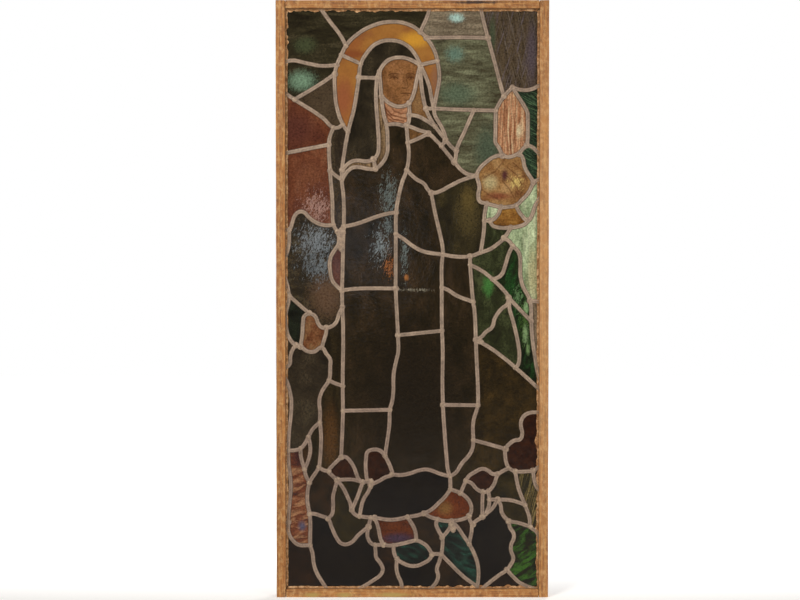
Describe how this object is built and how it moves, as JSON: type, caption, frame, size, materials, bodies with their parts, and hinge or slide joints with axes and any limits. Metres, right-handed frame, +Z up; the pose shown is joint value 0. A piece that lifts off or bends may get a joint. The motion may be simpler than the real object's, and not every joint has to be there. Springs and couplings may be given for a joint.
{
  "type": "leaded glass panel",
  "caption": "Tall leaded glass panel in a narrow wooden frame: a haloed, veiled figure in many tinted panes joined by soldered lead cames.",
  "frame": {"origin": "middle of the frame's underside: halfway across its width and halfway through its depth", "axes": "+X to the right as seen from the front, +Z up, the front of the glass faces -Y"},
  "size_m": [0.546, 0.038, 1.196],
  "materials": {
    "wood": "worn orange-brown stained softwood",
    "lead": "dull warm grey lead came and solder",
    "putty": "dry tan linseed-oil putty",
    "glass_grey_green": "grey-green opalescent cathedral glass",
    "glass_dark_olive": "near-black olive-brown cathedral glass, rippled",
    "glass_brown": "dark brown cathedral glass",
    "glass_red_brown": "red-brown cathedral glass, rippled",
    "glass_purple": "purple-brown streaky glass",
    "glass_amber": "amber cathedral glass",
    "glass_flesh": "flesh-tinted glass with fired paint",
    "glass_pale_green": "pale green streaky opalescent glass",
    "glass_leaf_green": "dark streaky green cathedral glass",
    "glass_maroon": "dark maroon cathedral glass"
  },
  "bodies": {
    "root": {"stile_left": "wood", "stile_right": "wood", "rail_top": "wood", "rail_bottom": "wood", "lead_came_net": "lead", "putty_front": "putty", "putty_back": "putty", "glass_sky_upper_left": "glass_grey_green", "glass_sky_top": "glass_dark_olive", "glass_sky_upper_right": "glass_grey_green", "glass_sky_far_right": "glass_brown", "glass_sky_left_middle": "glass_brown", "glass_red_left": "glass_red_brown", "glass_border_strip_left": "glass_brown", "glass_lens_left": "glass_red_brown", "glass_cloud_left": "glass_grey_green", "glass_shade_left": "glass_dark_olive", "glass_robe_hem_left": "glass_red_brown", "glass_olive_left": "glass_dark_olive", "glass_brown_tall_left": "glass_brown", "glass_opal_strip_left": "glass_red_brown", "glass_stones_lower_left": "glass_dark_olive", "glass_stones_purple_left": "glass_purple", "glass_ground_lower_left": "glass_dark_olive", "glass_robe_lower_left": "glass_dark_olive", "glass_robe_upper_left": "glass_dark_olive", "glass_veil_band": "glass_brown", "glass_veil_left": "glass_dark_olive", "glass_halo": "glass_amber", "glass_face": "glass_flesh", "glass_neck": "glass_flesh", "glass_collar": "glass_brown", "glass_sky_right_middle": "glass_grey_green", "glass_mantle_front": "glass_dark_olive", "glass_lamp": "glass_red_brown", "glass_sky_right_edge": "glass_grey_green", "glass_hand": "glass_amber", "glass_reed_right": "glass_pale_green", "glass_cuff_lining": "glass_dark_olive", "glass_cuff": "glass_amber", "glass_reed_tall_right": "glass_pale_green", "glass_sleeve_right": "glass_grey_green", "glass_robe_middle": "glass_dark_olive", "glass_robe_right": "glass_dark_olive", "glass_leaf_left": "glass_leaf_green", "glass_leaf_right": "glass_leaf_green", "glass_ground_right": "glass_brown", "glass_stone_maroon_right": "glass_maroon", "glass_stone_red_oval": "glass_maroon", "glass_stones_brown_right": "glass_brown", "glass_stone_orange": "glass_red_brown", "glass_stone_green_blue": "glass_leaf_green", "glass_stone_brown_middle": "glass_brown", "glass_stone_purple_blue": "glass_purple", "glass_stone_dark_right": "glass_dark_olive", "glass_fern_lower_right": "glass_leaf_green", "glass_striped_right": "glass_pale_green", "glass_ground_lower_middle": "glass_dark_olive", "glass_stone_purple_foot": "glass_purple"}
  },
  "joints": []
}
